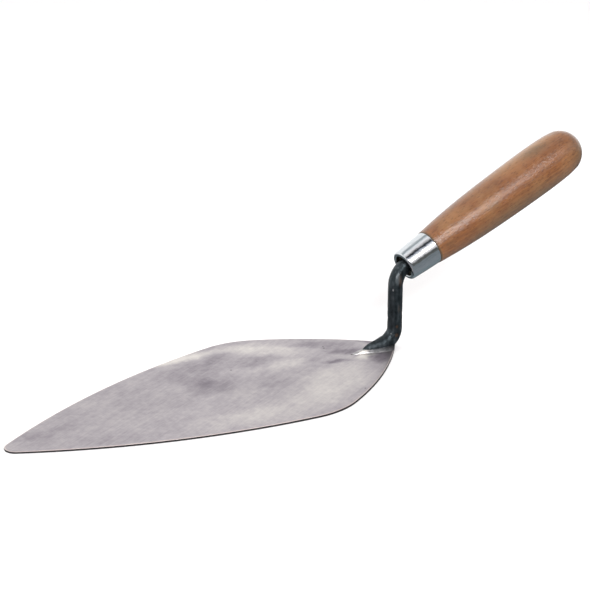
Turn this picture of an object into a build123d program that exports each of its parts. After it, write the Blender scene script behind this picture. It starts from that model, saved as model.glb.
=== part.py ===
"""Brick trowel: a taper-ground steel blade, a black forged shank welded to its heel, a plated
ferrule and a turned wooden handle driven onto the shank's tang.

Millimetres. The origin is on the blade's flat underside, directly below the neck's axis.
+X runs from the neck to the blade's tip, +Z points up out of the blade, and the trowel is
symmetric about the plane Y = 0. The handle leans back over the heel, towards -X.
"""

from build123d import *

import os
from math import atan2, cos, hypot, radians, sin, tan

# Blade, seen from above: every arc of the outline is tangent to the next one
NECK_RADIUS = 4.7
BLADE_LENGTH = 280.0  # from the back of the neck to the tip
BLADE_WIDTH = 127.0
WIDEST_X = 96.0
TIP_X = BLADE_LENGTH - NECK_RADIUS
TIP_RADIUS = 7.0
SIDE_RADIUS = 460.0
SHOULDER_RADIUS = 52.5
HEEL_SIDE_RADIUS = 235.0
HEEL_RADIUS = 1.2
HEEL_X = -0.4
CUT_MARGIN = 1.0  # how far a cutting shape runs past what it trims

# Blade, in thickness: it tapers from heel to tip, and a little from the middle to the edges
HEEL_THICKNESS = 2.1
HEEL_EDGE_THICKNESS = 1.7
TIP_THICKNESS = 1.2
TIP_EDGE_THICKNESS = 1.0

# Shank: the neck rises from the heel, then bends back into line with the handle
FOOT_BEND_RADIUS = 9.0
FOOT_BEND_START_Z = 13.0
NECK_BEND_RADIUS = 14.0
HANDLE_ANGLE = 22.5  # degrees above the blade
AXIS_CROSSING_Z = 50.6  # height at which the handle's axis meets the neck's axis

# Toe: the end of the bar, bent forward and hammered down to a taper along the blade
TOE_STATIONS = [  # distance along X, half width, height of the top, half height
    (FOOT_BEND_RADIUS, NECK_RADIUS, 8.7, NECK_RADIUS),
    (13.0, 4.2, 7.6, 4.6),
    (17.0, 3.5, 6.8, 4.3),
    (21.0, 2.6, 5.9, 3.9),
    (24.0, 1.5, 4.6, 3.2),
    (26.0, 0.5, 3.2, 2.0),
]

# Weld: a dressed bead that covers the heel and runs out in a low ridge beyond the toe
WELD_CENTRE_Z = 1.0
WELD_STATIONS = [  # distance along X, half width, height of the top
    (-2.0, 8.0, 3.6),
    (4.0, 9.6, 3.8),
    (8.0, 9.8, 3.8),
    (14.0, 8.5, 3.8),
    (18.5, 6.9, 3.8),
    (22.0, 4.7, 3.8),
    (26.0, 2.7, 3.6),
    (30.0, 1.8, 3.0),
    (33.0, 0.8, 2.3),
]

# Along the handle's axis, measured back from the ferrule's mouth
AXIS_START_X = -6.45
TANG_START = 2.1
TANG_WIDTH = 7.0
TANG_TIP_WIDTH = 3.2
TANG_END = 78.0
TANG_POINT = 6.0
TANG_POINT_WIDTH = 1.1
PILOT_RADIUS = 2.5
PILOT_END = 90.0

# Ferrule
FERRULE_FRONT = -0.3
FERRULE_BACK = 22.0
FERRULE_FRONT_RADIUS = 9.9
FERRULE_BACK_RADIUS = 11.25
FERRULE_WALL = 1.0
LIP_RADIUS = 1.5
LIP_OPENING_RADIUS = 7.3
STAKE_POSITION = 4.6
STAKE_DEPTH = 0.55
STAKE_RADIUS = 0.8
STAKE_POINT_RADIUS = 0.1
STAKE_TURN = 35.0  # degrees round from the top, towards -Y

# Handle
NOSE_START = 3.0
SHOULDER_RADIUS_WOOD = 11.65
GRIP_START_SLOPE = 0.12
GRIP_POINTS = [(40.0, 13.3), (60.0, 14.7), (88.0, 15.6), (116.0, 15.95)]
BUTT_CENTRE = 138.4
BUTT_RADIUS = 14.95
BUTT_TANGENT_ANGLE = 74.0  # degrees round the butt's ball at which the grip joins it


def internal_tangent_centre(first, first_gap, second, second_gap, side):
    """Centre that lies first_gap from one point and second_gap from the other."""
    dx, dy = second[0] - first[0], second[1] - first[1]
    span = hypot(dx, dy)
    along = (first_gap**2 - second_gap**2 + span**2) / (2 * span)
    across = side * (first_gap**2 - along**2) ** 0.5
    return (
        first[0] + (along * dx - across * dy) / span,
        first[1] + (along * dy + across * dx) / span,
    )


def tangent_point(centre, radius, big_centre):
    """Where a small circle touches the larger arc that wraps it."""
    turn = atan2(centre[1] - big_centre[1], centre[0] - big_centre[0])
    return (centre[0] + radius * cos(turn), centre[1] + radius * sin(turn))


def arc_through(start, centre, radius, end):
    """The shorter arc about a centre, from start to end."""
    middle = Vector(*start) + Vector(*end) - Vector(*centre) * 2
    bulge = Vector(*centre) + middle.normalized() * radius
    return ThreePointArc(start, (bulge.X, bulge.Y), end)


def blade_outline():
    """The blade from above, as a face at Z = 0."""
    tip = (TIP_X - TIP_RADIUS, 0.0)
    shoulder = (WIDEST_X, BLADE_WIDTH / 2 - SHOULDER_RADIUS)
    heel = (HEEL_X + HEEL_RADIUS, 0.0)
    side = internal_tangent_centre(
        tip, SIDE_RADIUS - TIP_RADIUS, shoulder, SIDE_RADIUS - SHOULDER_RADIUS, 1
    )
    heel_side = internal_tangent_centre(
        heel,
        HEEL_SIDE_RADIUS - HEEL_RADIUS,
        shoulder,
        HEEL_SIDE_RADIUS - SHOULDER_RADIUS,
        -1,
    )
    tip_point = tangent_point(tip, TIP_RADIUS, side)
    front = tangent_point(shoulder, SHOULDER_RADIUS, side)
    back = tangent_point(shoulder, SHOULDER_RADIUS, heel_side)
    heel_point = tangent_point(heel, HEEL_RADIUS, heel_side)
    half = [
        arc_through((TIP_X, 0), tip, TIP_RADIUS, tip_point),
        arc_through(tip_point, side, SIDE_RADIUS, front),
        arc_through(front, shoulder, SHOULDER_RADIUS, back),
        arc_through(back, heel_side, HEEL_SIDE_RADIUS, heel_point),
        arc_through(heel_point, heel, HEEL_RADIUS, (HEEL_X, 0)),
    ]
    other_half = [edge.mirror(Plane.XZ) for edge in half]
    return make_face(half + other_half)


def crown_section(x, middle, edge):
    """A slice across the blade's thickness: flat below, slightly crowned on top."""
    reach = BLADE_WIDTH / 2 + CUT_MARGIN
    lines = [
        Line((x, -reach, 0), (x, reach, 0)),
        Line((x, reach, 0), (x, reach, edge)),
        ThreePointArc((x, reach, edge), (x, 0, middle), (x, -reach, edge)),
        Line((x, -reach, edge), (x, -reach, 0)),
    ]
    return make_face(lines)


def make_blade():
    slab = loft(
        [
            crown_section(HEEL_X - CUT_MARGIN, HEEL_THICKNESS, HEEL_EDGE_THICKNESS),
            crown_section(TIP_X + CUT_MARGIN, TIP_THICKNESS, TIP_EDGE_THICKNESS),
        ],
        ruled=True,
    )
    return slab & extrude(blade_outline(), HEEL_THICKNESS + CUT_MARGIN)


def space_under(blade):
    """The blade together with everything below its underside."""
    return blade + extrude(Rectangle(2 * BLADE_LENGTH, BLADE_WIDTH), -2 * NECK_RADIUS)


def handle_plane(distance):
    """A plane across the handle's axis, facing back along it."""
    tilt = radians(HANDLE_ANGLE)
    back = Vector(-cos(tilt), 0, sin(tilt))
    mouth_z = AXIS_CROSSING_Z - AXIS_START_X * tan(tilt)
    mouth = Vector(AXIS_START_X, 0, mouth_z)
    return Plane(mouth + back * distance, x_dir=(0, 1, 0), z_dir=back)


def turned(points_face):
    """Spins a profile drawn as (distance, radius) about the handle's axis."""
    axis_plane = Plane(
        handle_plane(0).origin, x_dir=handle_plane(0).z_dir, z_dir=(0, -1, 0)
    )
    spun = revolve(Plane.XY * points_face, Axis.X, 360)
    return axis_plane.location * spun


def make_neck():
    """The round bar: a bend at the foot, a straight rise and a bend into the handle."""
    foot_reach = FOOT_BEND_RADIUS * (1 - cos(radians(45)))
    foot_low = FOOT_BEND_START_Z - FOOT_BEND_RADIUS
    turn = radians(90 - HANDLE_ANGLE)
    bend_start_z = AXIS_CROSSING_Z - NECK_BEND_RADIUS * tan(turn / 2)
    foot_bend = ThreePointArc(
        (FOOT_BEND_RADIUS, 0, foot_low),
        (foot_reach, 0, foot_low + foot_reach),
        (0, 0, FOOT_BEND_START_Z),
    )
    rise = Line((0, 0, FOOT_BEND_START_Z), (0, 0, bend_start_z))
    neck_bend = TangentArc(
        (0, 0, bend_start_z), handle_plane(TANG_START).origin, tangent=(0, 0, 1)
    )
    path = Wire([foot_bend, rise, neck_bend])
    start = Plane((FOOT_BEND_RADIUS, 0, foot_low), z_dir=(-1, 0, 0))
    return sweep(start * Circle(NECK_RADIUS), path=path)


def lofted_bar(stations):
    """A bar along X through oval sections: (x, half width, half height, centre's z)."""
    sections = []
    for x, half_width, half_height, centre_z in stations:
        station = Plane((x, 0, centre_z), x_dir=(0, 1, 0), z_dir=(1, 0, 0))
        sections.append(station * Ellipse(half_width, half_height))
    return loft(sections)


def make_toe():
    return lofted_bar([(x, wide, half, top - half) for x, wide, top, half in TOE_STATIONS])


def make_tang():
    """The square taper inside the handle, ending in a blunt point."""
    wide = handle_plane(TANG_START) * Rectangle(TANG_WIDTH, TANG_WIDTH)
    shoulder = handle_plane(TANG_END - TANG_POINT) * Rectangle(
        TANG_TIP_WIDTH, TANG_TIP_WIDTH
    )
    point = handle_plane(TANG_END) * Rectangle(TANG_POINT_WIDTH, TANG_POINT_WIDTH)
    return loft([wide, shoulder], ruled=True) + loft([shoulder, point], ruled=True)


def make_shank(blade_space):
    return make_neck() + make_toe() + make_tang() - blade_space


def make_weld(blade_space, shank):
    """The bead, cut flush with the blade's edge round the heel."""
    bead = lofted_bar(
        [(x, wide, top - WELD_CENTRE_Z, WELD_CENTRE_Z) for x, wide, top in WELD_STATIONS]
    )
    highest = max(top for _, _, top in WELD_STATIONS)
    inside_outline = extrude(blade_outline(), highest + CUT_MARGIN)
    pieces = (bead & inside_outline) - blade_space - shank
    return max(pieces.solids(), key=lambda solid: solid.volume)


def cone_radius(distance):
    """Outer radius of the ferrule at a distance behind its mouth."""
    share = (distance - FERRULE_FRONT) / (FERRULE_BACK - FERRULE_FRONT)
    return FERRULE_FRONT_RADIUS + share * (FERRULE_BACK_RADIUS - FERRULE_FRONT_RADIUS)


def make_ferrule():
    lip_start = FERRULE_FRONT + LIP_RADIUS
    inner_radius = LIP_RADIUS - FERRULE_WALL
    lip_inside = FERRULE_FRONT + FERRULE_WALL
    outer_lip = cone_radius(lip_start)
    outline = [
        Line((FERRULE_BACK, cone_radius(FERRULE_BACK)), (lip_start, outer_lip)),
        arc_through(
            (lip_start, outer_lip),
            (lip_start, outer_lip - LIP_RADIUS),
            LIP_RADIUS,
            (FERRULE_FRONT, outer_lip - LIP_RADIUS),
        ),
        Line((FERRULE_FRONT, outer_lip - LIP_RADIUS), (FERRULE_FRONT, LIP_OPENING_RADIUS)),
        Line((FERRULE_FRONT, LIP_OPENING_RADIUS), (lip_inside, LIP_OPENING_RADIUS)),
        Line((lip_inside, LIP_OPENING_RADIUS), (lip_inside, outer_lip - LIP_RADIUS)),
        arc_through(
            (lip_inside, outer_lip - LIP_RADIUS),
            (lip_start, outer_lip - LIP_RADIUS),
            inner_radius,
            (lip_start, outer_lip - FERRULE_WALL),
        ),
        Line(
            (lip_start, outer_lip - FERRULE_WALL),
            (FERRULE_BACK, cone_radius(FERRULE_BACK) - FERRULE_WALL),
        ),
        Line(
            (FERRULE_BACK, cone_radius(FERRULE_BACK) - FERRULE_WALL),
            (FERRULE_BACK, cone_radius(FERRULE_BACK)),
        ),
    ]
    return turned(make_face(outline)) - stake_mark()


def stake_mark():
    """The centre-punch mark that keys the ferrule to the wood."""
    across = handle_plane(STAKE_POSITION)
    turn = radians(STAKE_TURN)
    up = across.z_dir.cross(Vector(0, -1, 0))
    outward = up * cos(turn) + Vector(0, -1, 0) * sin(turn)
    surface = cone_radius(STAKE_POSITION)
    centre = across.origin + outward * (surface - STAKE_DEPTH / 2)
    return Plane(centre, z_dir=outward) * Cone(STAKE_POINT_RADIUS, STAKE_RADIUS, STAKE_DEPTH)


def make_handle(tang):
    nose_radius = cone_radius(NOSE_START) - FERRULE_WALL
    seat_radius = cone_radius(FERRULE_BACK) - FERRULE_WALL
    turn = radians(BUTT_TANGENT_ANGLE)
    grip_end = (BUTT_CENTRE + BUTT_RADIUS * cos(turn), BUTT_RADIUS * sin(turn))
    butt_end = (BUTT_CENTRE + BUTT_RADIUS, 0)
    shoulder = (FERRULE_BACK, SHOULDER_RADIUS_WOOD)
    grip = Spline(
        [shoulder, *GRIP_POINTS, grip_end],
        tangents=[(1, GRIP_START_SLOPE), (sin(turn), -cos(turn))],
    )
    outline = [
        Line((NOSE_START, 0), (NOSE_START, nose_radius)),
        Line((NOSE_START, nose_radius), (FERRULE_BACK, seat_radius)),
        Line((FERRULE_BACK, seat_radius), shoulder),
        grip,
        arc_through(grip_end, (BUTT_CENTRE, 0), BUTT_RADIUS, butt_end),
        Line(butt_end, (NOSE_START, 0)),
    ]
    pilot_start = NOSE_START - CUT_MARGIN
    pilot = extrude(
        handle_plane(pilot_start) * Circle(PILOT_RADIUS), PILOT_END - pilot_start
    )
    return turned(make_face(outline)) - tang - pilot


def main():
    os.makedirs("parts", exist_ok=True)
    blade = make_blade()
    blade_space = space_under(blade)
    shank = make_shank(blade_space)
    nodes = {
        "blade": blade,
        "shank": shank,
        "foot_weld": make_weld(blade_space, shank),
        "ferrule": make_ferrule(),
        "handle": make_handle(make_tang()),
    }
    for name, shape in nodes.items():
        export_step(shape, f"parts/{name}.step")


if __name__ == "__main__":
    main()
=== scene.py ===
import bpy
import bmesh
import math
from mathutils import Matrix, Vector, noise


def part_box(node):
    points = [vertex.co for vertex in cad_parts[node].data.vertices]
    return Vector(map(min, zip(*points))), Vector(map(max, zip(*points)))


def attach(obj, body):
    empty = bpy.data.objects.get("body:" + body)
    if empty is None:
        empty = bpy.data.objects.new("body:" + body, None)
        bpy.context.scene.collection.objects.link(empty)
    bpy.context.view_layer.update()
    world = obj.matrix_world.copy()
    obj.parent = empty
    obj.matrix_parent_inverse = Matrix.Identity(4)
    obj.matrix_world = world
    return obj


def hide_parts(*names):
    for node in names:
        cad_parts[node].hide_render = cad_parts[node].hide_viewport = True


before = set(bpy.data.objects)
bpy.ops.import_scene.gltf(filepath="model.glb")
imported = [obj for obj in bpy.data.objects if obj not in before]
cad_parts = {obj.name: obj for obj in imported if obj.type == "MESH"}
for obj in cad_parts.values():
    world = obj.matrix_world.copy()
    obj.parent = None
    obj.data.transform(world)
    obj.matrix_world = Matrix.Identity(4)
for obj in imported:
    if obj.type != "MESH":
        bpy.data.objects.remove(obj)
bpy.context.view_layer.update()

mm = 0.001
print("frame loaded:", ", ".join(sorted(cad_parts)))


# shared helpers

def hexToLinear(code):
    parts = [int(code[i:i + 2], 16) / 255 for i in (1, 3, 5)]
    return tuple(c / 12.92 if c <= 0.04045 else ((c + 0.055) / 1.055) ** 2.4 for c in parts) + (1.0,)


def lerp(a, b, k):
    return a + (b - a) * k


def smooth(k):
    k = min(max(k, 0.0), 1.0)
    return k * k * (3 - 2 * k)


def curveThrough(points, x):
    # smooth height at x of the curve through (x, height, ...) points
    spans = len(points) - 1
    i = max([n for n in range(spans) if points[n][0] <= x] or [0])
    before, start, end, after = (points[min(max(n, 0), spans)] for n in (i - 1, i, i + 1, i + 2))
    gap = end[0] - start[0]
    k = min(max((x - start[0]) / gap, 0.0), 1.0)
    out = []
    for c in range(1, len(start)):
        slopeIn = (end[c] - before[c]) / (end[0] - before[0]) * gap
        slopeOut = (after[c] - start[c]) / (after[0] - start[0]) * gap
        out.append((2 * k**3 - 3 * k**2 + 1) * start[c] + (k**3 - 2 * k**2 + k) * slopeIn
                   + (3 * k**2 - 2 * k**3) * end[c] + (k**3 - k**2) * slopeOut)
    return out


def skinRows(name, rows, marks=None, closeEnds=True):
    # rows: closed loops of points in mm, all of one length, skinned with quads
    # marks: attribute name -> function of the point that gives a number or a vector
    bm = bmesh.new()
    layers = {}
    for key, measure in (marks or {}).items():
        sample = measure(rows[0][0])
        kind = bm.verts.layers.float if isinstance(sample, float) else bm.verts.layers.float_vector
        layers[key] = kind.new(key)
    grid = []
    for row in rows:
        line = []
        for p in row:
            vert = bm.verts.new(p * mm)
            for key, layer in layers.items():
                vert[layer] = marks[key](p)
            line.append(vert)
        grid.append(line)
    for a, b in zip(grid, grid[1:]):
        for j in range(len(a)):
            k = (j + 1) % len(a)
            bm.faces.new((a[j], a[k], b[k], b[j]))
    if closeEnds:
        bm.faces.new(list(reversed(grid[0])))
        bm.faces.new(grid[-1])
    bmesh.ops.remove_doubles(bm, verts=bm.verts, dist=0.002 * mm)
    bmesh.ops.dissolve_degenerate(bm, edges=bm.edges, dist=0.001 * mm)
    bmesh.ops.recalc_face_normals(bm, faces=bm.faces)
    for face in bm.faces:
        face.smooth = True
    mesh = bpy.data.meshes.new(name)
    bm.to_mesh(mesh)
    bm.free()
    piece = bpy.data.objects.new(name, mesh)
    bpy.context.scene.collection.objects.link(piece)
    return piece


def findSocket(sockets, key):
    named = [s for s in sockets if s.identifier == key] or [s for s in sockets if s.name == key]
    return named[0]


def addNode(tree, kind, ins=None, ramp=None, **settings):
    # a link is given as a node, for its live output, or as (node, "output name")
    node = tree.nodes.new(kind)
    for key, value in settings.items():
        setattr(node, key, value)
    for key, value in (ins or {}).items():
        source = value[0] if isinstance(value, tuple) else value
        if isinstance(source, bpy.types.Node):
            live = [s for s in source.outputs if s.enabled]
            out = findSocket(source.outputs, value[1]) if isinstance(value, tuple) else live[0]
            tree.links.new(out, findSocket(node.inputs, key))
        else:
            findSocket(node.inputs, key).default_value = value
    if ramp:
        stops = node.color_ramp.elements
        while len(stops) < len(ramp):
            stops.new(0.5)
        for stop, (place, colour) in zip(stops, ramp):
            stop.position = place
            stop.color = colour
    return node


def newFinish(name):
    material = bpy.data.materials.new(name)
    material.use_nodes = True
    tree = material.node_tree
    bench = addNode(tree, "ShaderNodeAttribute", attribute_name="benchMm")
    return material, tree, tree.nodes["Principled BSDF"], bench


def setShader(tree, shader, values):
    for key, value in values.items():
        if isinstance(value, bpy.types.Node):
            live = [s for s in value.outputs if s.enabled][0]
            tree.links.new(live, shader.inputs[key])
        else:
            shader.inputs[key].default_value = value


def addPatches(tree, place, patches, drift=0.0):
    # soft-edged patches in mm: (centre, half sizes, turn in degrees, strength)
    total = None
    for centre, sizes, turn, strength in patches:
        local = addNode(tree, "ShaderNodeMapping", {
            "Vector": place, "Location": [c + drift for c in centre],
            "Rotation": (0, 0, math.radians(turn)), "Scale": sizes}, vector_type="TEXTURE")
        reach = addNode(tree, "ShaderNodeVectorMath", {"Vector": local}, operation="LENGTH")
        shade = addNode(tree, "ShaderNodeMapRange", {
            "Value": (reach, "Value"), "From Min": 1.0, "From Max": 0.2, "To Min": 0.0, "To Max": strength},
            interpolation_type="SMOOTHSTEP")
        total = shade if total is None else addNode(
            tree, "ShaderNodeMath", {"Value": total, "Value_001": shade}, operation="ADD")
    return total


# blade: ground flat below, tapering in thickness from heel to tip

blade = {
    "tipRadius": 7.0, "sideRadius": 460.0, "shoulderRadius": 52.5, "heelSideRadius": 235.0,
    "heelRadius": 1.2, "widestX": 96.0,
    "heelMiddle": 2.1, "heelEdge": 1.7, "tipMiddle": 1.2, "tipEdge": 1.0,   # thickness
    "edgeRound": [(0.45, 0.0), (0.2, 0.04), (0.05, 0.16), (0.0, 0.36)],     # inset, drop
    "waviness": 0.03,
    "spacing": 1.3,
    # patches: x, y, half length, half width, turn, strength
    "smudges": [
        (132, -8, 22, 15, 0, 0.17), (137, -19, 16, 12, -40, 0.12), (120, -31, 28, 12, 45, 0.1),
        (136, -37, 28, 15, 12, 0.12), (106, -44, 18, 9, 14, 0.1), (92, -28, 20, 15, 0, 0.1),
        (98, 9, 17, 15, 0, 0.06), (22, 14, 14, 8, 32, 0.26), (47, 3, 13, 4, -22, 0.26),
        (33, -7, 16, 8, -20, 0.28), (38, -23, 26, 10, -36, 0.16), (12, -12, 12, 6, -38, 0.25),
        (252, -7, 36, 8, -3, 0.1), (60, -8, 12, 5, -10, 0.06), (214, 28, 34, 10, -18, 0.06)],
    # partly real rubbing and partly painted reflection: the strip along the far edge near x 130 and the pale
    # zones near the heel, x 40 to 110, are painted reflections
    "rubbedAndPaintedSheen": [
        (64, 27, 46, 25, 20, 0.15), (60, 12, 24, 10, 0, 0.05), (77, -12, 28, 11, -12, 0.12),
        (74, -38, 36, 14, -38, 0.16), (90, -51, 22, 9, -15, 0.08), (130, -57, 42, 8, -8, 0.3),
        (27, 6, 10, 5, 15, 0.34), (104, 44, 56, 26, -2, 0.1), (118, 10, 18, 9, 10, 0.05),
        (150, 40, 44, 15, -6, 0.1)],
    "pits": [(57.5, 46.5, 1.0), (109.5, -23, 1.1), (41.8, -19, 1.0), (40.8, -21.5, 0.8), (33.5, -0.3, 1.2),
             (150, 30, 0.5), (196, -14, 0.5), (224, 9, 0.4), (88, 52, 0.5)],
}
bladeLow, bladeHigh = (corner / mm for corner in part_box("blade"))
heelX, tipX, halfWide = bladeLow.x, bladeHigh.x, bladeHigh.y


def circleCentre(first, firstGap, second, secondGap, side):
    # the point that lies firstGap from one centre and secondGap from the other
    along = second - first
    span = along.length
    a = (firstGap**2 - secondGap**2 + span**2) / (2 * span)
    h = side * math.sqrt(firstGap**2 - a**2)
    along.normalize()
    return first + along * a + Vector((-along.y, along.x)) * h


def bladeOutline():
    # half the outline, heel to tip, as (point, outward direction)
    tip = Vector((tipX - blade["tipRadius"], 0))
    shoulder = Vector((blade["widestX"], halfWide - blade["shoulderRadius"]))
    heel = Vector((heelX + blade["heelRadius"], 0))
    side = circleCentre(tip, blade["sideRadius"] - blade["tipRadius"],
                        shoulder, blade["sideRadius"] - blade["shoulderRadius"], 1)
    heelSide = circleCentre(heel, blade["heelSideRadius"] - blade["heelRadius"],
                            shoulder, blade["heelSideRadius"] - blade["shoulderRadius"], -1)
    arcs = [(heel, blade["heelRadius"], Vector((-1, 0)), heel - heelSide),
            (heelSide, blade["heelSideRadius"], heel - heelSide, shoulder - heelSide),
            (shoulder, blade["shoulderRadius"], shoulder - heelSide, shoulder - side),
            (side, blade["sideRadius"], shoulder - side, tip - side),
            (tip, blade["tipRadius"], tip - side, Vector((1, 0)))]
    line = []
    for centre, radius, start, end in arcs:
        a, b = math.atan2(start.y, start.x), math.atan2(end.y, end.x)
        steps = max(6, round(radius * abs(b - a) / blade["spacing"]))
        for i in range(steps + (1 if radius == blade["tipRadius"] else 0)):
            turn = lerp(a, b, i / steps)
            out = Vector((math.cos(turn), math.sin(turn)))
            line.append((centre + out * radius, out))
    return line


outline = bladeOutline()


def halfWidthAt(x):
    # half the blade's width at x
    for (a, _), (b, _) in zip(outline, outline[1:]):
        if a.x <= x <= b.x and a.x < b.x:
            return lerp(a.y, b.y, (x - a.x) / (b.x - a.x))
    return 0.0


def bladeTop(x, y):
    k = (x - heelX) / (tipX - heelX)
    middle = lerp(blade["heelMiddle"], blade["tipMiddle"], k)
    edge = lerp(blade["heelEdge"], blade["tipEdge"], k)
    wave = abs(noise.noise(Vector((x / 26, y / 18, 3.0))))
    return middle - (middle - edge) * (y / halfWide) ** 2 - 0.012 - blade["waviness"] * wave


def makeBlade():
    columns = [1.0, 0.985, 0.95, 0.89, 0.8, 0.69, 0.57, 0.45, 0.33, 0.22, 0.11]
    rows = []
    for point, out in outline:
        spine = Vector((lerp(heelX + 6, tipX - 10, (point.x - heelX) / (tipX - heelX)), 0))
        reach = min(1.0, max(point.y, 0.3) / 2)
        half = []
        for k in columns:
            p = spine.lerp(point - out * blade["edgeRound"][0][0] * reach, k)
            half.append(p)
        top = [Vector((p.x, p.y, bladeTop(p.x, p.y))) for p in half]
        top.append(Vector((spine.x, 0, bladeTop(spine.x, 0))))
        rim = []
        for inset, drop in blade["edgeRound"][1:]:
            p = point - out * inset * reach
            rim.append(Vector((p.x, p.y, bladeTop(p.x, p.y) - drop)))
        for inset, drop in reversed(blade["edgeRound"][1:]):
            p = point - out * inset * reach
            rim.append(Vector((p.x, p.y, drop)))
        under = [Vector((p.x, p.y, 0.0)) for p in half] + [Vector((spine.x, 0, 0.0))]
        near = list(reversed(top)) + rim + under[:-1]
        far = [Vector((p.x, -p.y, p.z)) for p in reversed(near)]
        rows.append(near + [under[-1]] + far[:-1])
    edges = [p for p, _ in outline]

    def edgeDistance(p):
        flat = Vector((p.x, abs(p.y)))
        return min((flat - q).length for q in edges)

    return skinRows("blade_plate", rows, {"benchMm": lambda p: p.copy(), "edgeMm": edgeDistance}, False)


print("blade")
bladePlate = makeBlade()
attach(bladePlate, "root")
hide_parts("blade")


# handle axis: the neck's top bend, the tang, the ferrule and the grip follow it

handleLine = {"angle": 22.5, "crossingZ": 50.6, "startX": -6.45}
axisTurn = math.radians(handleLine["angle"])
axisBack = Vector((-math.cos(axisTurn), 0, math.sin(axisTurn)))
axisUp = Vector((math.sin(axisTurn), 0, math.cos(axisTurn)))
axisMouth = Vector((handleLine["startX"], 0,
                    handleLine["crossingZ"] - handleLine["startX"] * math.tan(axisTurn)))


def onAxis(distance, radius, turn):
    # turn runs round from the top, towards +Y
    across = axisUp * math.cos(turn) + Vector((0, 1, 0)) * math.sin(turn)
    return axisMouth + axisBack * distance + across * radius


def axisCoords(p):
    # distance along the axis, across, up
    q = p - axisMouth
    return Vector((q.dot(axisBack), q.y, q.dot(axisUp)))


def turnProfile(name, profile, steps, swell=None, closeEnds=False):
    rows = []
    for i in range(steps):
        turn = 2 * math.pi * i / steps
        row = []
        for t, r in profile:
            row.append(onAxis(t, r + (swell(t, turn) if swell and r > 1 else 0.0), turn))
        rows.append(row)
    rows.append([p.copy() for p in rows[0]])
    return skinRows(name, rows, {"benchMm": axisCoords}, closeEnds)


# shank: a round bar, toe hammered flat on the blade, tang drawn to a square taper

shank = {
    "neckRadius": 4.65, "footBend": 9.0, "footBendZ": 13.0, "neckBend": 14.0,
    "toe": [   # x, half width, top, half height
        (9.0, 4.65, 8.7, 4.7), (13.0, 4.2, 7.6, 4.6), (17.0, 3.5, 6.8, 4.3),
        (21.0, 2.6, 5.9, 3.9), (24.0, 1.5, 4.6, 3.2), (26.0, 0.45, 3.1, 2.0)],
    "bendFill": 0.8,            # extra metal upset into the inside of the foot's bend
    "tang": [(2.9, 3.45), (72.0, 1.6), (78.0, 0.5)],   # along the axis, half width
    "toeSquare": 2.2, "barSquare": 2.15, "tangSquare": 9.0,     # 2 is a round section, more is squarer
    "hammer": 0.22, "hammerSize": 4.2, "scaleSize": 1.9, "scaleShare": 0.4,
    "sunk": 0.3,                # how far the toe goes into the blade
    "around": 40,
}


def shankStations():
    # (centre x, centre z, direction up the bar in radians, half width, half height, squareness, inner fill)
    s = shank
    stations = []
    toe = s["toe"]
    for i in range(19):
        x = lerp(toe[-1][0], toe[0][0], i / 18)
        wide, top, half = curveThrough(toe, x)
        stations.append((x, top - half, math.pi, wide, half, s["toeSquare"], 0.0))
    foot = s["footBend"]
    for i in range(1, 17):
        turn = math.pi / 2 * i / 16
        fill = s["bendFill"] * math.sin(math.pi * i / 16) ** 1.5
        stations.append((foot - foot * math.sin(turn), s["footBendZ"] - foot * math.cos(turn),
                         math.pi - turn, s["neckRadius"], s["neckRadius"], s["barSquare"], fill))
    swing = math.pi / 2 - axisTurn
    riseEnd = handleLine["crossingZ"] - s["neckBend"] * math.tan(swing / 2)
    for i in range(1, 25):
        stations.append((0.0, lerp(s["footBendZ"], riseEnd, i / 24), math.pi / 2,
                         s["neckRadius"], s["neckRadius"], s["barSquare"], 0.0))
    for i in range(1, 17):
        turn = swing * i / 16
        stations.append((-s["neckBend"] * (1 - math.cos(turn)), riseEnd + s["neckBend"] * math.sin(turn),
                         math.pi / 2 + turn, s["neckRadius"], s["neckRadius"], s["barSquare"], 0.0))
    (startT, startHalf), (taperT, taperHalf), point = s["tang"]
    tang = [(lerp(startT, taperT, i / 12), lerp(startHalf, taperHalf, i / 12)) for i in range(13)]
    for t, half in tang + [point]:
        p = axisMouth + axisBack * t
        stations.append((p.x, p.z, math.pi - axisTurn, half, half, s["tangSquare"], 0.0))
    return stations


def makeShank():
    rows = []
    for cx, cz, way, wide, high, square, fill in shankStations():
        along = Vector((math.cos(way), 0, math.sin(way)))
        inward = Vector((along.z, 0, -along.x))      # towards the inside of the foot's bend
        row = []
        for j in range(shank["around"]):
            turn = 2 * math.pi * j / shank["around"]
            c, s = math.cos(turn), math.sin(turn)
            x = math.copysign(abs(c) ** (2 / square), c)
            y = math.copysign(abs(s) ** (2 / square), s)
            p = Vector((cx, 0, cz)) + inward * (high * x + fill * max(0.0, x)) + Vector((0, wide * y, 0))
            dent = noise.noise(p / shank["hammerSize"])
            dent += shank["scaleShare"] * noise.noise(p / shank["scaleSize"] + Vector((7, 0, 0)))
            p -= (inward * x + Vector((0, y, 0))) * shank["hammer"] * max(0.0, dent)
            if p.x > heelX and p.z < 4:
                p.z = max(p.z, bladeTop(p.x, p.y) - shank["sunk"])
            row.append(p)
        rows.append(row)
    return skinRows("forged_shank", rows, {"benchMm": lambda p: p.copy()})


print("shank")
forgedShank = makeShank()
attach(forgedShank, "root")
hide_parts("shank")


# weld: a bead round the toe, dressed with a grinder and cut flush at the heel

weld = {
    "stations": [   # x, half width on the blade, top
        (-0.4, 8.0, 3.5), (4.0, 8.9, 3.7), (8.0, 9.1, 3.7), (14.0, 7.9, 3.7), (18.5, 6.5, 3.7),
        (22.0, 4.4, 3.75), (26.0, 2.6, 3.6), (30.0, 1.7, 3.0), (33.0, 0.7, 2.25)],
    "ripple": 0.1, "rippleSize": 2.2, "sunk": 0.3, "columns": 30, "rows": 70,
}


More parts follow.
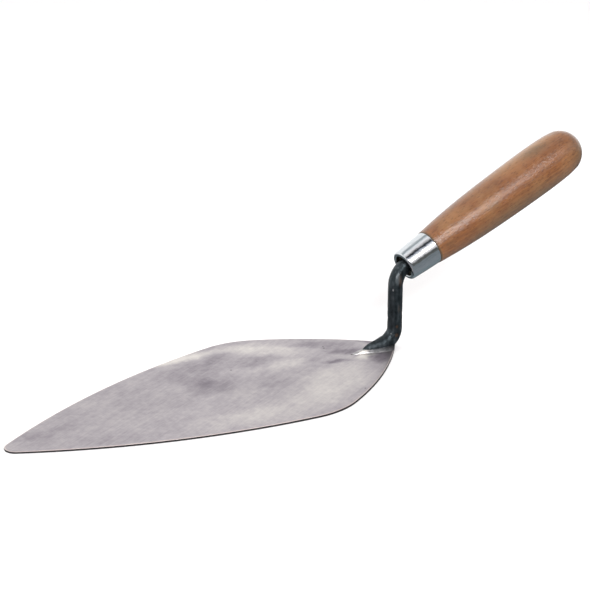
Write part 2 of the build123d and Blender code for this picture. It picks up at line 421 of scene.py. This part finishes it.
def makeWeld():
    rows = []
    first, last = weld["stations"][0][0], weld["stations"][-1][0]
    for i in range(weld["rows"] + 1):
        x = lerp(first + 0.15, last, i / weld["rows"])
        wide, top = curveThrough(weld["stations"], x)
        reach = min(wide, halfWidthAt(x) - 0.03)
        crest, sole = [], []
        for j in range(weld["columns"] + 1):
            c = math.sin(math.pi / 2 * lerp(-1, 1, j / weld["columns"]))
            y = reach * c
            floor = bladeTop(x, y)
            rise = (1 - min(1.0, abs(y) / wide) ** 2) ** 0.9
            bump = noise.noise(Vector((x, y, 0)) / weld["rippleSize"]) * weld["ripple"] * rise
            crest.append(Vector((x, y, floor - 0.02 + (top - floor) * rise + min(0.0, bump))))
            sole.append(Vector((x, y, floor - weld["sunk"])))
        rows.append(crest + list(reversed(sole)))
    return skinRows("weld_bead", rows, {"benchMm": lambda p: p.copy()})


print("weld")
weldBead = makeWeld()
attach(weldBead, "root")
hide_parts("foot_weld")


# ferrule: a tapered tube with its mouth rolled inward

ferrule = {
    "front": -0.3, "back": 22.0, "frontRadius": 9.9, "backRadius": 11.25, "belly": 0.12, "wall": 1.0,
    "lip": 1.5, "opening": 7.3,
    "stakeAt": 4.6, "stakeTurn": -35.0, "stakeSize": 0.8, "stakeDepth": 0.5,
}


def ferruleProfile():
    f = ferrule
    shape = []
    for i in range(45):
        k = i / 44
        t = lerp(f["back"] - 0.2, f["front"] + f["lip"], k)
        share = (t - f["front"]) / (f["back"] - f["front"])
        belly = f["belly"] * math.sin(math.pi * share)
        shape.append((t, lerp(f["frontRadius"], f["backRadius"], share) + belly))
    lipCentre = (f["front"] + f["lip"], shape[-1][1] - f["lip"])
    for i in range(1, 13):
        turn = math.pi / 2 * i / 12
        shape.append((lipCentre[0] - f["lip"] * math.sin(turn), lipCentre[1] + f["lip"] * math.cos(turn)))
    half = f["wall"] / 2
    rimCentre = (f["front"] + half, f["opening"] + half)
    for i in range(9):
        turn = math.pi * i / 8
        shape.append((rimCentre[0] - half * math.cos(turn), rimCentre[1] - half * math.sin(turn)))
    inner = f["lip"] - f["wall"]
    for i in range(5):
        turn = math.pi / 2 * (1 - i / 4)
        shape.append((lipCentre[0] - inner * math.sin(turn), lipCentre[1] + inner * math.cos(turn)))
    for i in range(1, 13):
        t = lerp(lipCentre[0], f["back"], i / 12)
        share = (t - f["front"]) / (f["back"] - f["front"])
        shape.append((t, lerp(f["frontRadius"], f["backRadius"], share) - f["wall"]))
    shape.append((f["back"], f["backRadius"] - 0.2))
    return shape


def stakeDent(t, turn):
    around = (turn - math.radians(ferrule["stakeTurn"]) + math.pi) % (2 * math.pi) - math.pi
    gap = math.hypot(t - ferrule["stakeAt"], around * ferrule["frontRadius"]) / ferrule["stakeSize"]
    return -ferrule["stakeDepth"] * (1 - smooth(gap)) if gap < 1 else 0.0


print("ferrule")
ferruleTube = turnProfile("ferrule_tube", ferruleProfile(), 256, stakeDent)
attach(ferruleTube, "root")
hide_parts("ferrule")


# handle: turned on a lathe, its nose driven into the ferrule

handle = {
    "nose": 3.0, "seat": 22.05, "noseRadius": 9.0, "seatRadius": 10.2,
    "bore": [(90.0, 2.4), (78.0, 2.5), (72.0, 2.6), (3.0, 3.55)],   # along the axis, radius
    "grip": [(22.3, 11.55), (40.0, 13.3), (60.0, 14.65), (88.0, 15.55), (116.0, 15.9), (134.0, 15.45)],
    "buttCentre": 138.4, "buttRadius": 14.9, "buttJoin": 76.0,
    "toolMarks": 0.025, "outOfRound": 0.06,
}


def handleProfile():
    h = handle
    shape = [(h["bore"][0][0] + 3, 0.0)] + h["bore"]
    shape += [(h["nose"], h["bore"][-1][1] + 0.4), (h["nose"], h["noseRadius"] - 0.4)]
    shape += [(h["nose"] + 0.4, h["noseRadius"])]
    shape += [(h["seat"] - 0.05, h["seatRadius"]), (h["seat"], h["seatRadius"] + 0.1)]
    shape += [(h["seat"], h["grip"][0][1] - 0.25), (h["seat"] + 0.08, h["grip"][0][1] - 0.07)]
    join = math.radians(h["buttJoin"])
    joinT = h["buttCentre"] + h["buttRadius"] * math.cos(join)
    grip = h["grip"] + [(joinT, h["buttRadius"] * math.sin(join))]
    rings = 110
    for i in range(rings):
        t = lerp(grip[0][0], joinT, i / rings)
        shape.append((t, curveThrough(grip, t)[0]))
    for i in range(28):
        turn = join * (1 - i / 27)
        shape.append((h["buttCentre"] + h["buttRadius"] * math.cos(turn), h["buttRadius"] * math.sin(turn)))
    return shape


def gripSwell(t, turn):
    if t < handle["seat"] + 0.05:
        return 0.0
    rings = noise.noise(Vector((t * 0.9, 0, 5))) * handle["toolMarks"]
    flat = noise.noise(Vector((t / 40, math.cos(turn), math.sin(turn)))) * handle["outOfRound"]
    return -abs(rings) - abs(flat)


print("handle")
turnedHandle = turnProfile("turned_handle", handleProfile(), 160, gripSwell)
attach(turnedHandle, "root")
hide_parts("handle")


# finishes

def groundSpringSteel():
    # carbon spring steel, belt ground and then used: satin mauve grey with faint slanting scratches,
    # darker where mortar and hands have stained it, paler where it is rubbed and where painted reflections
    # stand in for the light the steel mirrors
    look = {
        "tones": ["#5C555D", "#857D85", "#ADA6AA", "#CFC9C5", "#EDE7E1"],    # stained to rubbed, the pale end partly painted reflection
        "shearedEdge": "#5A5453", "wornEdge": "#E2D4CF", "pit": "#4A4548",
        "roughness": (0.46, 0.34),     # stained, rubbed
        "clouds": 24.0, "mottle": 3.2,
        # real grind marks are 0.1 mm wide: drawn coarser to show
        "scratchLength": 14.0, "scratchWidth": 0.9,
        "scratchTurn": 24.0, "streakLength": 34.0, "streakWidth": 5.0,
        "flow": 13.0, "drift": 11.0,   # the patches' edges wander this far
        "layers": {"clouds": 0.26, "mottle": 0.26, "scratches": 0.2, "streaks": 0.12},
    }
    material, tree, shader, bench = newFinish("groundSpringSteel")
    place = (bench, "Vector")
    flow = addNode(tree, "ShaderNodeTexNoise", {"Vector": place, "Scale": 1 / look["flow"], "Detail": 5.0,
                                                "Roughness": 0.6})
    drifted = addNode(tree, "ShaderNodeVectorMath", {
        "Vector": (flow, "Color"), "Vector_001": (look["drift"],) * 2 + (0.0,), "Vector_002": place},
        operation="MULTIPLY_ADD")
    stains, sheen = [[((x, y, 0), (long, wide, 90), turn, strength) for x, y, long, wide, turn, strength
                      in blade[key]] for key in ("smudges", "rubbedAndPaintedSheen")]
    smudges = addPatches(tree, drifted, stains, look["drift"] / 2)
    rubbedAndPaintedSheen = addPatches(tree, drifted, sheen, look["drift"] / 2)
    clouds = addNode(tree, "ShaderNodeTexNoise", {"Vector": place, "Scale": 1 / look["clouds"], "Detail": 5.0,
                                                  "Roughness": 0.6})
    mottle = addNode(tree, "ShaderNodeTexNoise", {"Vector": place, "Scale": 1 / look["mottle"], "Detail": 4.0,
                                                  "Roughness": 0.6})
    turned = addNode(tree, "ShaderNodeMapping", {
        "Vector": place, "Rotation": (0, 0, math.radians(-look["scratchTurn"]))})
    scratchPlace = addNode(tree, "ShaderNodeMapping", {
        "Vector": turned, "Scale": (1 / look["scratchLength"], 1 / look["scratchWidth"], 0.2)})
    scratches = addNode(tree, "ShaderNodeTexNoise", {"Vector": scratchPlace, "Scale": 1.0, "Detail": 3.0,
                                                     "Roughness": 0.6})
    streakPlace = addNode(tree, "ShaderNodeMapping", {
        "Vector": turned, "Scale": (1 / look["streakLength"], 1 / look["streakWidth"], 0.05)})
    streaks = addNode(tree, "ShaderNodeTexNoise", {"Vector": streakPlace, "Scale": 1.0, "Detail": 4.0})
    # one tone, from stained to rubbed, adds up the patches and the noises
    amounts = look["layers"]
    layers = [(clouds, amounts["clouds"]), (mottle, amounts["mottle"]),
              (scratches, amounts["scratches"]), (streaks, amounts["streaks"])]
    tone = 0.5 - sum(amount for _, amount in layers) / 2
    for layer, amount in layers:
        tone = addNode(tree, "ShaderNodeMath", {
            "Value": (layer, "Fac"), "Value_001": amount, "Value_002": tone}, operation="MULTIPLY_ADD")
    # real rubbing and painted reflection both lighten the tone here
    tone = addNode(tree, "ShaderNodeMath", {"Value": tone, "Value_001": rubbedAndPaintedSheen}, operation="ADD")
    tone = addNode(tree, "ShaderNodeMath", {"Value": tone, "Value_001": smudges}, operation="SUBTRACT")
    base = addNode(tree, "ShaderNodeValToRGB", {"Fac": tone}, [
        (i / 4, hexToLinear(code)) for i, code in enumerate(look["tones"])])
    pits = addPatches(tree, bench, [((x, y, 2), (r, r, r), 0, 0.9) for x, y, r in blade["pits"]])
    base = addNode(tree, "ShaderNodeMix", {
        "Factor_Float": pits, "A_Color": base, "B_Color": hexToLinear(look["pit"])},
        data_type="RGBA")
    edge = addNode(tree, "ShaderNodeAttribute", attribute_name="edgeMm")
    paintedSheen = addNode(tree, "ShaderNodeMapRange", {
        "Value": (edge, "Fac"), "From Min": 1.0, "From Max": 0.4,
        "To Min": 0.0, "To Max": 0.75})
    base = addNode(tree, "ShaderNodeMix", {
        "Factor_Float": paintedSheen, "A_Color": base, "B_Color": hexToLinear(look["wornEdge"])},
        data_type="RGBA")
    # the sheared side keeps its dark oxide
    geometry = addNode(tree, "ShaderNodeNewGeometry")
    facing = addNode(tree, "ShaderNodeSeparateXYZ", {"Vector": (geometry, "Normal")})
    level = addNode(tree, "ShaderNodeMath", {"Value": (facing, "Z")}, operation="ABSOLUTE")
    upright = addNode(tree, "ShaderNodeMapRange", {
        "Value": level, "From Min": 0.75, "From Max": 0.4,
        "To Min": 0.0, "To Max": 1.0})
    base = addNode(tree, "ShaderNodeMix", {
        "Factor_Float": upright, "A_Color": base, "B_Color": hexToLinear(look["shearedEdge"])},
        data_type="RGBA")
    rough = addNode(tree, "ShaderNodeMapRange", {
        "Value": tone, "From Min": 0.2, "From Max": 0.8,
        "To Min": look["roughness"][0], "To Max": look["roughness"][1]})
    bump = addNode(tree, "ShaderNodeBump", {
        "Height": (scratches, "Fac"), "Strength": 0.4, "Distance": 0.05 * mm})
    setShader(tree, shader, {"Base Color": base, "Metallic": 1.0, "Roughness": rough, "Normal": bump,
                             "Anisotropic": 0.3})
    return material


def scaledForgedSteel():
    # mild steel forged hot: blue-black scale with a dull sheen, thin in streaks along the bar,
    # chipped to bare metal and brown with rust in a few places, with painted warm and bright highlights on
    # the upper bend
    look = {"scale": "#1F2629", "middle": "#363D41", "thin": "#676E72", "rustAndWarmHighlight": "#75563F", "bare": "#C3C6C7",
            "streakLength": 16.0, "streakWidth": 1.7, "blotch": 4.0, "grain": 0.8, "roughness": (0.25, 0.48),
            # patches in mm: centre, half sizes, turn, strength
            # painted sheen: the lighter patches stand in for the highlight on the upper bend and for
            # reflections down the neck; the last, negative one darkens the toe
            "paintedSheen": [((1.2, 4.2, 48), (2.2, 2.0, 6.5), 0, 0.6), ((3.6, 2.6, 36), (1.2, 1.2, 11), 0, 0.14),
                     ((1.0, 4.5, 26), (1.0, 1.4, 12), 0, 0.12), ((14, 0, 6), (9, 3.6, 3), 0, -0.1)],
            "rustAndWarmHighlightPatches": [((1.6, 4.4, 9.5), (1.9, 1.9, 1.9), 0, 1.3),
                       ((1.4, 4.4, 15.2), (1.3, 1.3, 1.6), 0, 1.2),
                       ((0.4, 4.6, 27), (1.2, 1.2, 4.0), 0, 0.4),
                       # painted highlight: this last patch, on the upper bend, is a warm highlight drawn in
                       # the rust colour
                       ((-0.4, 4.2, 46), (2.0, 2.0, 6.0), 0, 0.75)],
            "chipsAndGlintPatches": [((4.6, 2.4, 10.4), (0.9, 0.9, 0.9), 0, 0.9),
                        ((3.8, 2.7, 40), (0.7, 0.7, 1.1), 0, 0.8),
                        # painted highlight: this last, long patch on the upper bend is a narrow glint drawn
                        # in bare-metal colour
                        ((1.9, 4.1, 50.0), (0.9, 1.4, 3.2), 0, 0.8)],
            "hammeredToe": [((14, 0, 5), (17, 9, 8), 0, 0.24)]}
    material, tree, shader, bench = newFinish("scaledForgedSteel")
    place = (bench, "Vector")
    streakPlace = addNode(tree, "ShaderNodeMapping", {
        "Vector": place,
        "Scale": (1 / look["streakWidth"], 1 / look["streakWidth"], 1 / look["streakLength"])})
    streaks = addNode(tree, "ShaderNodeTexNoise", {"Vector": streakPlace, "Scale": 1.0, "Detail": 3.0})
    blotch = addNode(tree, "ShaderNodeTexNoise", {"Vector": place, "Scale": 1 / look["blotch"], "Detail": 5.0,
                                                  "Roughness": 0.65})
    grain = addNode(tree, "ShaderNodeTexNoise", {"Vector": place, "Scale": 1 / look["grain"], "Detail": 3.0})
    # painted highlights and reflections lighten the scale's tone
    paintedSheenMask = addPatches(tree, bench, look["paintedSheen"])
    tone = addNode(tree, "ShaderNodeMath", {"Value": (streaks, "Fac"), "Value_001": (blotch, "Fac")},
                   operation="ADD")
    tone = addNode(tree, "ShaderNodeMath", {"Value": tone, "Value_001": 0.5, "Value_002": paintedSheenMask},
                   operation="MULTIPLY_ADD")
    base = addNode(tree, "ShaderNodeValToRGB", {"Fac": tone}, [
        (0.38, hexToLinear(look["scale"])), (0.52, hexToLinear(look["middle"])),
        (0.8, hexToLinear(look["thin"]))])
    rustAndWarmHighlight = addPatches(tree, bench, look["rustAndWarmHighlightPatches"])
    rustAndWarmHighlight = addNode(tree, "ShaderNodeMath", {"Value": rustAndWarmHighlight, "Value_001": (blotch, "Fac")},
                   operation="MULTIPLY", use_clamp=True)
    base = addNode(tree, "ShaderNodeMix", {
        "Factor_Float": rustAndWarmHighlight, "A_Color": base, "B_Color": hexToLinear(look["rustAndWarmHighlight"])},
        data_type="RGBA")
    chipsAndGlintMask = addPatches(tree, bench, look["chipsAndGlintPatches"])
    base = addNode(tree, "ShaderNodeMix", {
        "Factor_Float": chipsAndGlintMask, "A_Color": base, "B_Color": hexToLinear(look["bare"])},
        data_type="RGBA")
    rough = addNode(tree, "ShaderNodeMapRange", {
        "Value": (blotch, "Fac"), "From Min": 0.3, "From Max": 0.7,
        "To Min": look["roughness"][0], "To Max": look["roughness"][1]})
    # the hammered toe is left matt
    matt = addPatches(tree, bench, look["hammeredToe"])
    rough = addNode(tree, "ShaderNodeMath", {"Value": rough, "Value_001": matt}, operation="ADD")
    bump = addNode(tree, "ShaderNodeBump", {
        "Height": (grain, "Fac"), "Strength": 0.8, "Distance": 0.2 * mm})
    bump = addNode(tree, "ShaderNodeBump", {
        "Height": (blotch, "Fac"), "Strength": 0.7, "Distance": 0.5 * mm, "Normal": bump})
    setShader(tree, shader, {"Base Color": base, "Metallic": 0.8, "Roughness": rough, "Normal": bump})
    return material


def dressedWeldSteel():
    # weld metal dressed with an angle grinder: dark at the heel, grey along the flank, coarse
    # scratches and a painted highlight, near white, along the ridge where the flank catches the light
    look = {"heel": "#4B4F52", "flank": "#BDBBBC", "stain": "#707274", "ridge": "#FBF6F0", "scratch": 1.1,
            "roughness": (0.32, 0.5), "paintedRidgeHighlight": [((25.5, 1.8, 2.9), (8.0, 2.3, 2.3), 6, 1.0)]}
    material, tree, shader, bench = newFinish("dressedWeldSteel")
    place = (bench, "Vector")
    along = addNode(tree, "ShaderNodeSeparateXYZ", {"Vector": place})
    scratchPlace = addNode(tree, "ShaderNodeMapping", {
        "Vector": place, "Rotation": (0, 0, math.radians(25)), "Scale": (0.12, 1 / look["scratch"], 0.3)})
    scratch = addNode(tree, "ShaderNodeTexNoise", {"Vector": scratchPlace, "Scale": 1.0, "Detail": 4.0})
    dirt = addNode(tree, "ShaderNodeTexNoise", {"Vector": place, "Scale": 1 / 3.0, "Detail": 4.0})
    run = addNode(tree, "ShaderNodeMapRange", {
        "Value": (along, "X"), "From Min": 3.0, "From Max": 12.0,
        "To Min": 0.0, "To Max": 1.0})
    base = addNode(tree, "ShaderNodeMix", {
        "Factor_Float": run, "A_Color": hexToLinear(look["heel"]), "B_Color": hexToLinear(look["flank"])},
        data_type="RGBA")
    stain = addNode(tree, "ShaderNodeMapRange", {
        "Value": (dirt, "Fac"), "From Min": 0.45, "From Max": 0.7,
        "To Min": 0.0, "To Max": 0.8})
    base = addNode(tree, "ShaderNodeMix", {
        "Factor_Float": stain, "A_Color": base, "B_Color": hexToLinear(look["stain"])},
        data_type="RGBA")
    # painted highlight: near-white colour on the ridge's flank stands in for the light it catches
    ridge = addPatches(tree, bench, look["paintedRidgeHighlight"])
    base = addNode(tree, "ShaderNodeMix", {
        "Factor_Float": ridge, "A_Color": base, "B_Color": hexToLinear(look["ridge"])},
        data_type="RGBA")
    rough = addNode(tree, "ShaderNodeMapRange", {
        "Value": (scratch, "Fac"), "From Min": 0.3, "From Max": 0.7,
        "To Min": look["roughness"][0], "To Max": look["roughness"][1]})
    bump = addNode(tree, "ShaderNodeBump", {
        "Height": (scratch, "Fac"), "Strength": 0.6, "Distance": 0.12 * mm})
    setShader(tree, shader, {"Base Color": base, "Metallic": 1.0, "Roughness": rough, "Normal": bump})
    return material


def brightChromePlate():
    # steel tube plated with bright nickel and chromium: a mirror, slightly wavy from drawing,
    # with hairline scratches
    look = {"plate": "#D6DADD", "haze": "#B4BABF", "roughness": (0.05, 0.15), "wave": 4.0}
    material, tree, shader, bench = newFinish("brightChromePlate")
    place = (bench, "Vector")
    hairPlace = addNode(tree, "ShaderNodeMapping", {"Vector": place, "Scale": (0.15, 2.2, 2.2)})
    hair = addNode(tree, "ShaderNodeTexNoise", {
        "Vector": hairPlace, "Scale": 1.0, "Detail": 4.0, "Roughness": 0.7})
    wave = addNode(tree, "ShaderNodeTexNoise", {"Vector": place, "Scale": 1 / look["wave"], "Detail": 2.0})
    base = addNode(tree, "ShaderNodeValToRGB", {"Fac": (hair, "Fac")}, [
        (0.45, hexToLinear(look["plate"])), (0.8, hexToLinear(look["haze"]))])
    rough = addNode(tree, "ShaderNodeMapRange", {
        "Value": (hair, "Fac"), "From Min": 0.35, "From Max": 0.75,
        "To Min": look["roughness"][0], "To Max": look["roughness"][1]})
    bump = addNode(tree, "ShaderNodeBump", {
        "Height": (wave, "Fac"), "Strength": 0.4, "Distance": 0.4 * mm})
    setShader(tree, shader, {"Base Color": base, "Metallic": 1.0, "Roughness": rough, "Normal": bump})
    return material


def varnishedBeech():
    # steamed beech, turned and dipped in clear varnish: warm brown, fine dark flecks along the grain,
    # a broken gloss where the varnish has sunk, grey grime, painted shade underneath and at the tube, and a
    # painted lit top
    look = {
        "early": "#83532D", "middle": "#774A2A", "late": "#664022", "fleck": "#43281A", "grimeAndShade": "#4A4331",
        "pale": "#9C734A", "ringWidth": 2.6, "fibreWidth": 0.8, "fibreLength": 22.0, "blotch": 20.0,
        "fleckWidth": 0.6, "fleckLength": 2.4,     # beech flecks are 0.2 mm wide: drawn coarser to show
        "dimple": 1.1,     # where the varnish has sunk into the grain
        "roughness": (0.42, 0.6), "varnish": (0.09, 0.24),
        # painted light: the top is painted paler towards the butt, where it catches the light
        "paintedTopLight": [((112, -4, 14), (52, 13, 7), 0, 0.7)],
        # grime near the butt; painted shade at the joint with the tube, along the underside and on the end
        # grain inside
        "grimeAndShadePatches": [((118, 3, 15), (16, 7, 9), 8, 0.9), ((22.3, 0, 0), (1.2, 30, 30), 0, 1.4),
                  ((80, 15, -9), (90, 11, 15), 0, 0.85), ((146, 9, 0), (17, 15, 20), 0, 0.8),
                  ((70, 14, 6), (9, 6, 4), 30, 0.4), ((3, 0, 0), (14, 26, 26), 0, 3.0),
                  ((30, 10, 2), (7, 7, 4), 20, 0.4)],
    }
    material, tree, shader, bench = newFinish("varnishedBeech")
    place = (bench, "Vector")
    sway = addNode(tree, "ShaderNodeTexNoise", {"Vector": place, "Scale": 1 / 45, "Detail": 2.0})
    swayed = addNode(tree, "ShaderNodeVectorMath", {
        "Vector": (sway, "Color"), "Vector_001": (0.0, 7.0, 7.0), "Vector_002": place},
        operation="MULTIPLY_ADD")
    ringPlace = addNode(tree, "ShaderNodeMapping", {
        "Vector": swayed, "Location": (0.0, 30.0, 75.0), "Scale": (0.02, 1.0, 1.0)})
    rings = addNode(tree, "ShaderNodeTexWave", {
        "Vector": ringPlace, "Scale": 0.314 / look["ringWidth"], "Distortion": 1.2, "Detail": 3.0,
        "Detail Scale": 1.5}, wave_type="RINGS", rings_direction="X", wave_profile="SIN")
    fibrePlace = addNode(tree, "ShaderNodeMapping", {
        "Vector": swayed, "Scale": (1 / look["fibreLength"], 1 / look["fibreWidth"], 1 / look["fibreWidth"])})
    fibre = addNode(tree, "ShaderNodeTexNoise", {
        "Vector": fibrePlace, "Scale": 1.0, "Detail": 4.0, "Roughness": 0.6})
    fleckPlace = addNode(tree, "ShaderNodeMapping", {
        "Vector": place, "Scale": (1 / look["fleckLength"], 1 / look["fleckWidth"], 1 / look["fleckWidth"])})
    fleck = addNode(tree, "ShaderNodeTexVoronoi", {"Vector": fleckPlace, "Scale": 0.55, "Randomness": 1.0})
    fleckMask = addNode(tree, "ShaderNodeMapRange", {
        "Value": (fleck, "Distance"), "From Min": 0.35, "From Max": 0.1,
        "To Min": 0.0, "To Max": 0.6})
    blotch = addNode(tree, "ShaderNodeTexNoise", {
        "Vector": place, "Scale": 1 / look["blotch"], "Detail": 5.0, "Roughness": 0.6})
    figure = addNode(tree, "ShaderNodeMath", {"Value": (rings, "Fac"), "Value_001": 0.18,
                                              "Value_002": (fibre, "Fac")}, operation="MULTIPLY_ADD")
    base = addNode(tree, "ShaderNodeValToRGB", {"Fac": figure}, [
        (0.38, hexToLinear(look["early"])), (0.6, hexToLinear(look["middle"])),
        (0.85, hexToLinear(look["late"]))])
    paleAndLitMask = addNode(tree, "ShaderNodeMapRange", {
        "Value": (blotch, "Fac"), "From Min": 0.46, "From Max": 0.7,
        "To Min": 0.0, "To Max": 0.45})
    # painted light on the top towards the butt, added to the random pale blotches
    paintedTopLight = addPatches(tree, bench, look["paintedTopLight"])
    paleAndLitMask = addNode(tree, "ShaderNodeMath", {"Value": paleAndLitMask, "Value_001": paintedTopLight}, operation="ADD",
                       use_clamp=True)
    base = addNode(tree, "ShaderNodeMix", {
        "Factor_Float": paleAndLitMask, "A_Color": base, "B_Color": hexToLinear(look["pale"])},
        data_type="RGBA")
    base = addNode(tree, "ShaderNodeMix", {
        "Factor_Float": fleckMask, "A_Color": base, "B_Color": hexToLinear(look["fleck"])},
        data_type="RGBA")
    # real grime and painted shade share this darkening
    grimeAndShade = addPatches(tree, bench, look["grimeAndShadePatches"])
    grimeAndShadeMask = addNode(tree, "ShaderNodeMath", {"Value": grimeAndShade, "Value_001": (blotch, "Fac")},
                        operation="MULTIPLY", use_clamp=True)
    base = addNode(tree, "ShaderNodeMix", {
        "Factor_Float": grimeAndShadeMask, "A_Color": base, "B_Color": hexToLinear(look["grimeAndShade"])},
        data_type="RGBA")
    rough = addNode(tree, "ShaderNodeMapRange", {
        "Value": (blotch, "Fac"), "From Min": 0.3, "From Max": 0.7,
        "To Min": look["roughness"][0], "To Max": look["roughness"][1]})
    dimplePlace = addNode(tree, "ShaderNodeMapping", {"Vector": place, "Scale": (0.6, 1.0, 1.0)})
    dimple = addNode(tree, "ShaderNodeTexNoise", {"Vector": dimplePlace, "Scale": 1 / look["dimple"],
                                                  "Detail": 3.0, "Roughness": 0.6})
    gloss = addNode(tree, "ShaderNodeMapRange", {
        "Value": (dimple, "Fac"), "From Min": 0.42, "From Max": 0.6,
        "To Min": look["varnish"][0], "To Max": look["varnish"][1]})
    bump = addNode(tree, "ShaderNodeBump", {
        "Height": (fibre, "Fac"), "Strength": 0.4, "Distance": 0.08 * mm})
    bump = addNode(tree, "ShaderNodeBump", {
        "Height": (dimple, "Fac"), "Strength": 1.0, "Distance": 0.3 * mm, "Normal": bump})
    setShader(tree, shader, {
        "Base Color": base, "Roughness": rough, "Normal": bump, "IOR": 1.5, "Specular IOR Level": 0.17,
        "Coat Weight": 0.9, "Coat Roughness": gloss, "Coat IOR": 1.5, "Coat Normal": bump})
    return material


print("finishes")
for piece, finish in [(bladePlate, groundSpringSteel()), (forgedShank, scaledForgedSteel()),
                      (weldBead, dressedWeldSteel()), (ferruleTube, brightChromePlate()),
                      (turnedHandle, varnishedBeech())]:
    piece.data.materials.append(finish)


# studio: pale floor, soft lights, camera

studio = {
    "floorSize": 8.0, "floorDrop": 0.15, "floor": "#F4F3F2", "worldStrength": 1.2,
    # the surround's tone, in degrees from level on the handle's near side, over the top and round below
    "surround": [(0, "#6C6E6C"), (8, "#5A5B59"), (17, "#5E6060"), (26, "#F0E9E9"), (38, "#FFFCFF"),
                 (54, "#FFFCFF"), (62, "#A8ABB5"), (69, "#1C2328"), (76, "#46474A"), (86, "#DAD6D6"),
                 (94, "#FFFAFB"), (104, "#F2F4F5"), (115, "#969CA0"), (125, "#C4C8C8"), (135, "#FFFFFF"),
                 (190, "#FFFFFF"), (200, "#B4B8B8"), (209, "#5A6164"), (236, "#5A6164"), (250, "#7E878A"),
                 (270, "#788387"), (310, "#84898E"), (343, "#7B8185")],
    "lights": [   # name, place, aim, size x, size y, watts, seen in reflections
        ("frontSoftbox", (0.19, 0.95, 0.9), (0.19, 0.0, 0.03), 1.1, 0.24, 12.5, True),
        ("overheadSoftbox", (0.05, -0.3, 1.7), (0.05, -0.1, 0.0), 2.2, 2.2, 12.0, False)],
}
camera = {"aim": (44.5, -47.6, 29.8), "azimuth": 145.49, "elevation": 20.81, "distance": 1200.0,
          "lens": 113.86}


def aimAt(thing, place, target):
    thing.location = place
    thing.rotation_euler = (Vector(target) - Vector(place)).to_track_quat("-Z", "Y").to_euler()


def makeFloor():
    side = studio["floorSize"]
    bm = bmesh.new()
    bmesh.ops.create_grid(bm, x_segments=8, y_segments=8, size=side / 2)
    mesh = bpy.data.meshes.new("studio_floor")
    bm.to_mesh(mesh)
    bm.free()
    floor = bpy.data.objects.new("studio_floor", mesh)
    floor.location.z = -studio["floorDrop"] * mm
    floor.visible_glossy = False      # the metal mirrors the surround instead
    bpy.context.scene.collection.objects.link(floor)
    material = bpy.data.materials.new("studioPaper")
    material.use_nodes = True
    shader = material.node_tree.nodes["Principled BSDF"]
    shader.inputs["Base Color"].default_value = hexToLinear(studio["floor"])
    shader.inputs["Roughness"].default_value = 0.95
    shader.inputs["Specular IOR Level"].default_value = 0.1
    mesh.materials.append(material)


def makeWorld():
    # long strips of light and shade that run along the trowel, so that the plated tube has lines to mirror
    world = bpy.data.worlds.new("studioSurround")
    bpy.context.scene.world = world
    world.use_nodes = True
    tree = world.node_tree
    view = addNode(tree, "ShaderNodeTexCoord")
    way = addNode(tree, "ShaderNodeSeparateXYZ", {"Vector": (view, "Generated")})
    turn = addNode(tree, "ShaderNodeMath", {"Value": (way, "Z"), "Value_001": (way, "Y")},
                   operation="ARCTAN2")
    share = addNode(tree, "ShaderNodeMath", {"Value": turn, "Value_001": 2 * math.pi}, operation="DIVIDE")
    share = addNode(tree, "ShaderNodeMath", {"Value": share, "Value_001": 1.0, "Value_002": 0.0},
                    operation="WRAP")
    shade = addNode(tree, "ShaderNodeValToRGB", {"Fac": share}, [
        (turned / 360, hexToLinear(colour)) for turned, colour in studio["surround"]])
    background = tree.nodes["Background"]
    tree.links.new(shade.outputs["Color"], background.inputs["Color"])
    background.inputs["Strength"].default_value = studio["worldStrength"]


def makeLights():
    for name, place, target, wide, high, watts, mirrored in studio["lights"]:
        lamp = bpy.data.lights.new(name, "AREA")
        lamp.shape = "RECTANGLE"
        lamp.size, lamp.size_y, lamp.energy = wide, high, watts
        light = bpy.data.objects.new(name, lamp)
        light.visible_glossy = mirrored
        bpy.context.scene.collection.objects.link(light)
        aimAt(light, place, target)


def makeCamera():
    lens = bpy.data.cameras.new("studioCamera")
    lens.lens, lens.sensor_width, lens.clip_start = camera["lens"], 36.0, 0.05
    view = bpy.data.objects.new("studioCamera", lens)
    bpy.context.scene.collection.objects.link(view)
    a, e = math.radians(camera["azimuth"]), math.radians(camera["elevation"])
    back = Vector((math.sin(a) * math.cos(e), -math.cos(a) * math.cos(e), math.sin(e)))
    target = Vector(camera["aim"]) * mm
    aimAt(view, target + back * camera["distance"] * mm, target)
    bpy.context.scene.camera = view


print("studio")
makeFloor()
makeWorld()
makeLights()
makeCamera()
bpy.context.scene.view_settings.view_transform = "Standard"

print("done")
